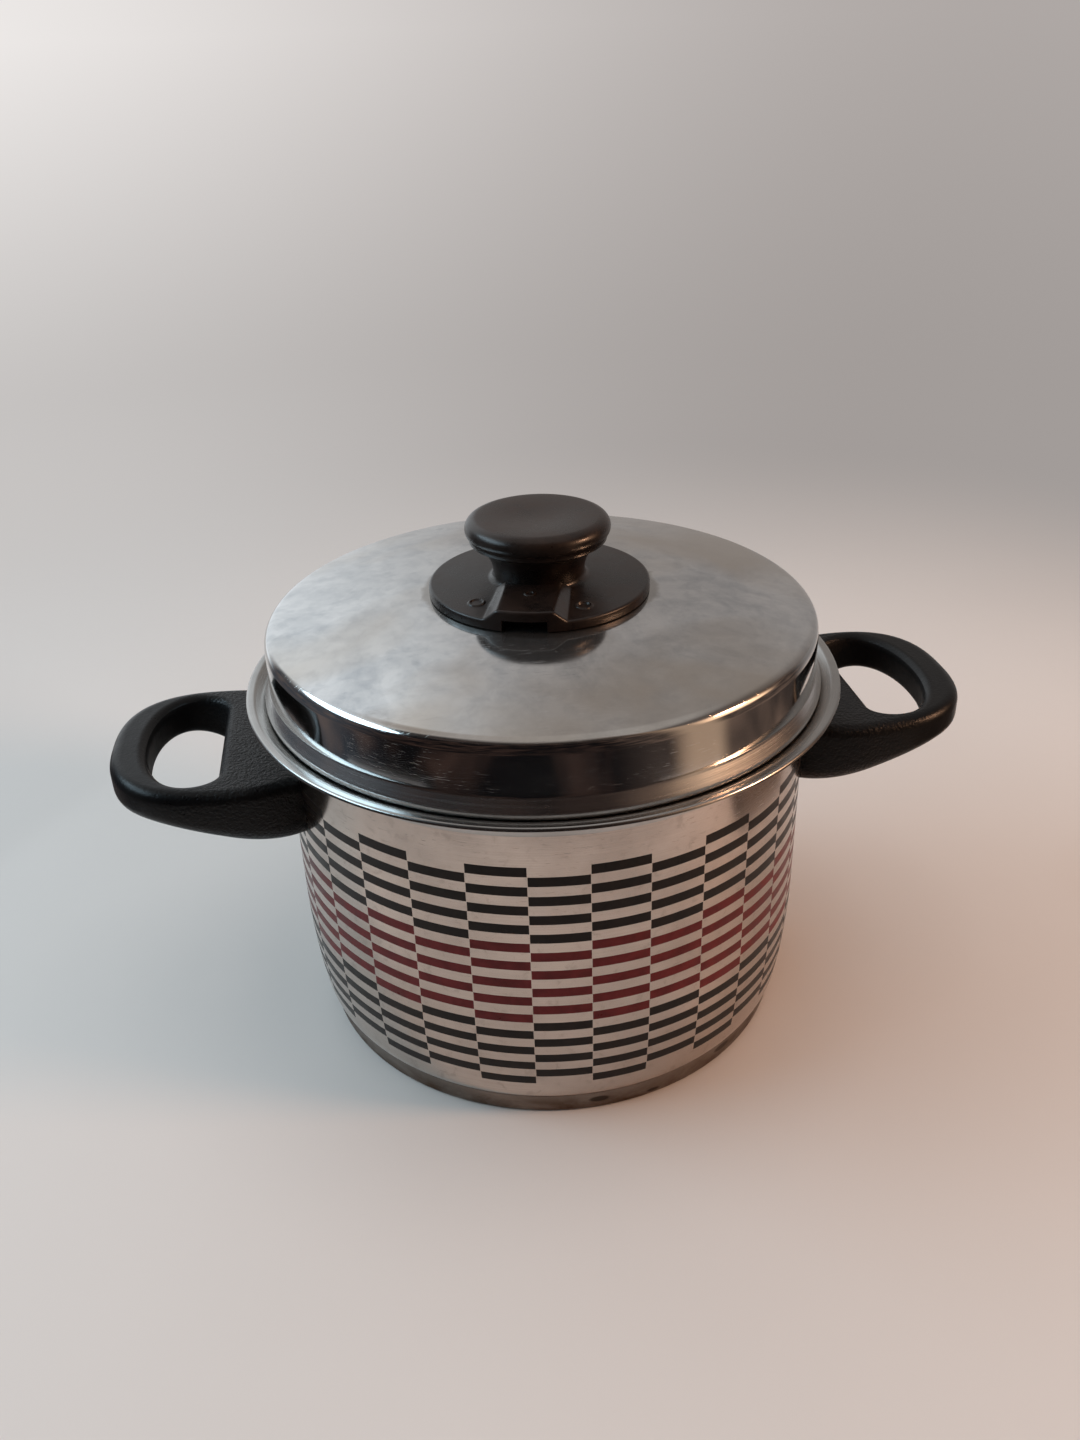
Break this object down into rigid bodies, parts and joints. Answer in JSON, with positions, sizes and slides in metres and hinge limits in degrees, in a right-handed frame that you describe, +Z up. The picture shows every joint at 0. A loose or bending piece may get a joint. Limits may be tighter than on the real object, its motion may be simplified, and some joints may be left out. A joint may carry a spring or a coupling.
{
  "type": "stock pot with lid",
  "caption": "Deep round stainless pot with a flared rim, a bonded heavy base, loop handles and a domed lift-off lid with a turning steam-vent knob.",
  "frame": {"origin": "middle of the underside, on the surface that the pot stands on", "axes": "+Z up along the pot's axis, handles along +X and -X, -Y towards the front of the printed wall"},
  "size_m": [0.3314, 0.226, 0.2016],
  "materials": {
    "polished_steel": "polished stainless steel with fine scratches and a printed two-colour check on the wall",
    "satin_steel": "satin stainless steel, clouded on the dome and mirror-bright on the skirt",
    "base_aluminium": "pressed, hidden between floor and cap",
    "black_phenolic": "satin black moulding with a fine grain near the root",
    "brown_phenolic": "worn brown-black moulding, satin",
    "bracket_steel": "pressed steel strip",
    "screw_steel": "bright plated steel",
    "insert_brass": "turned brass"
  },
  "bodies": {
    "pot": {"pot_shell": "polished_steel", "base_core": "base_aluminium", "base_cap": "polished_steel", "handle_left": "black_phenolic", "handle_right": "black_phenolic", "bracket_left": "bracket_steel", "bracket_right": "bracket_steel", "handle_screw_left": "screw_steel", "handle_screw_right": "screw_steel", "lock_washer_left": "screw_steel", "lock_washer_right": "screw_steel"},
    "lid": {"lid_shell": "satin_steel"},
    "knob": {"knob": "brown_phenolic", "knob_insert": "insert_brass", "knob_screw": "screw_steel", "knob_washer": "screw_steel", "spring_washer": "screw_steel"}
  },
  "joints": [
    {"name": "lid_lift", "type": "slide", "parent": "pot", "child": "lid", "axis": [0, 0, 1], "range_m": [0, 0.15]},
    {"name": "knob_turn", "type": "hinge", "parent": "lid", "child": "knob", "pos_m": [0, 0, 0.18], "axis": [0, 0, 1], "range_deg": [-37, 37]}
  ]
}
